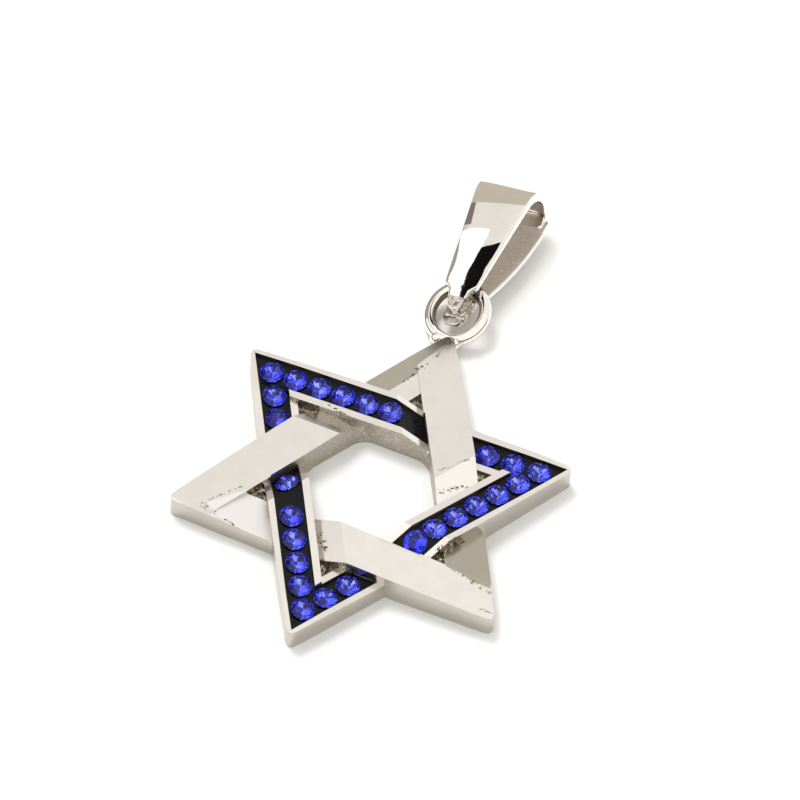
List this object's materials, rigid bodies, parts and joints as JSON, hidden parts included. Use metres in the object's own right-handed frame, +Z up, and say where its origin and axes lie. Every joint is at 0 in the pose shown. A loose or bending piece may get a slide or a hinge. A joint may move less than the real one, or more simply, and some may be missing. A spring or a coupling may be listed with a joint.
{
  "type": "star of david pendant",
  "caption": "Six-pointed star pendant of two interlaced triangles, one set with round stones in black fill, with a jump ring and a folded bail.",
  "frame": {"origin": "on the surface that the pendant lies on, under the middle of its bounding box", "axes": "+Z up out of the pendant's face, +Y from the star towards the bail, +X to the right seen from above"},
  "size_m": [0.0218, 0.0368, 0.0044],
  "materials": {
    "star_silver": "cast and polished silver",
    "bail_silver": "polished silver",
    "black_fill": "glossy black enamel",
    "blue_stone": "faceted and polished"
  },
  "bodies": {
    "root": {"star_frame": "star_silver", "bail": "bail_silver", "channel_fill_a": "black_fill", "channel_fill_b": "black_fill", "channel_fill_c": "black_fill", "stone_a1": "blue_stone", "stone_a2": "blue_stone", "stone_a3": "blue_stone", "stone_a4": "blue_stone", "stone_a5": "blue_stone", "stone_a6": "blue_stone", "stone_a7": "blue_stone", "stone_a8": "blue_stone", "stone_b1": "blue_stone", "stone_b2": "blue_stone", "stone_b3": "blue_stone", "stone_b4": "blue_stone", "stone_b5": "blue_stone", "stone_b6": "blue_stone", "stone_b7": "blue_stone", "stone_b8": "blue_stone", "stone_b9": "blue_stone", "stone_c1": "blue_stone", "stone_c2": "blue_stone", "stone_c3": "blue_stone", "stone_c4": "blue_stone", "stone_c5": "blue_stone", "stone_c6": "blue_stone", "stone_c7": "blue_stone", "stone_c8": "blue_stone"}
  },
  "joints": []
}
